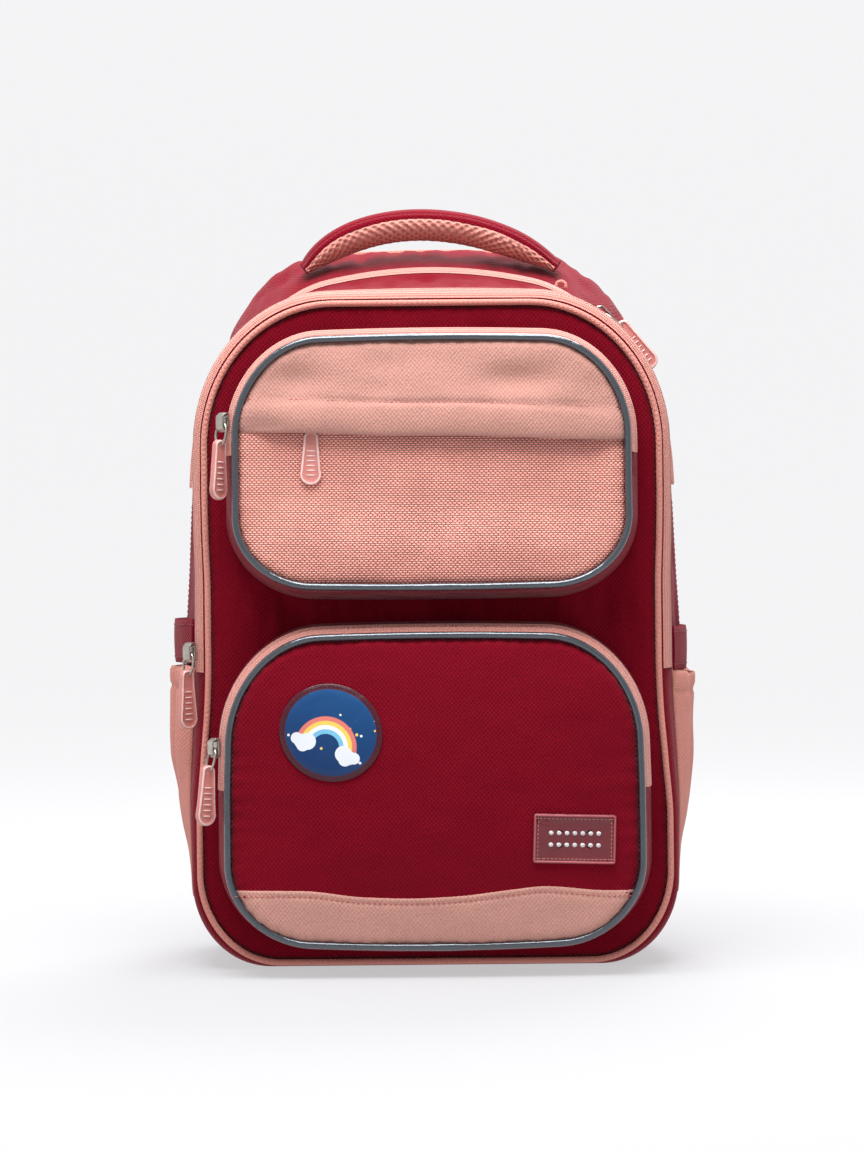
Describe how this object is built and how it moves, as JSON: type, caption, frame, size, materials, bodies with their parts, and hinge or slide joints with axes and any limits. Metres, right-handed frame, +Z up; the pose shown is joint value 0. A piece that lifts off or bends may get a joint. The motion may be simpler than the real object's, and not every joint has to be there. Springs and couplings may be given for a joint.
{
  "type": "school backpack",
  "caption": "School backpack that stands on its base: zipped compartments and front pockets, open side pockets, padded grab handle and shoulder straps.",
  "frame": {"origin": "on the floor, under the middle of the base", "axes": "+X to the right as seen from the front, +Y from the front pockets to the back, +Z up"},
  "size_m": [0.3051, 0.2292, 0.4339],
  "materials": {
    "red_cloth": "woven polyester, matt with a faint sheen",
    "pink_cloth": "plain woven polyester, matt",
    "pink_weave": "coarse basket weave and air mesh",
    "pink_piping": "cloth over a round cord",
    "pink_zip": "reversed coil zip tape",
    "grey_piping": "glossy reflective piping",
    "metal": "nickel plated",
    "tab": "soft moulded plastic",
    "picture": "clear film over print",
    "label": "moulded soft plastic with a raised frame",
    "buckle": "moulded plastic"
  },
  "bodies": {
    "root": {"front_gusset": "red_cloth", "main_gusset": "red_cloth", "front_panel": "red_cloth", "body_piping": "pink_piping", "front_zip_tape": "pink_zip", "main_zip_tape": "pink_zip", "upper_pocket_gusset": "red_cloth", "upper_pocket_piping": "grey_piping", "upper_zip_tape": "pink_zip", "upper_pocket_flap": "pink_cloth", "upper_pocket_mesh": "pink_weave", "lower_pocket_gusset": "red_cloth", "lower_pocket_piping": "grey_piping", "lower_zip_tape": "pink_zip", "lower_pocket_face": "red_cloth", "lower_pocket_band": "pink_cloth", "picture_patch": "picture", "label_patch": "label", "side_pocket_right": "pink_cloth", "side_strap_right": "red_cloth", "side_pocket_left": "pink_cloth", "side_strap_left": "red_cloth", "handle_cover": "red_cloth", "handle_mesh": "pink_weave", "back_panel": "red_cloth", "lumbar_pad": "pink_weave", "back_pad_right": "pink_weave", "back_pad_left": "pink_weave", "shoulder_strap_right": "red_cloth", "shoulder_strap_left": "red_cloth", "strap_buckle_right": "buckle", "strap_buckle_left": "buckle", "strap_webbing_right": "red_cloth", "strap_webbing_left": "red_cloth", "upper_pull_slider": "metal", "upper_pull_ring": "metal", "upper_pull_tab": "tab", "lower_pull_slider": "metal", "lower_pull_ring": "metal", "lower_pull_tab": "tab", "front_pull_slider": "metal", "front_pull_ring": "metal", "front_pull_tab": "tab", "main_pull_slider": "metal", "main_pull_ring": "metal", "main_pull_tab": "tab", "flap_pull_tab": "tab"}
  },
  "joints": []
}
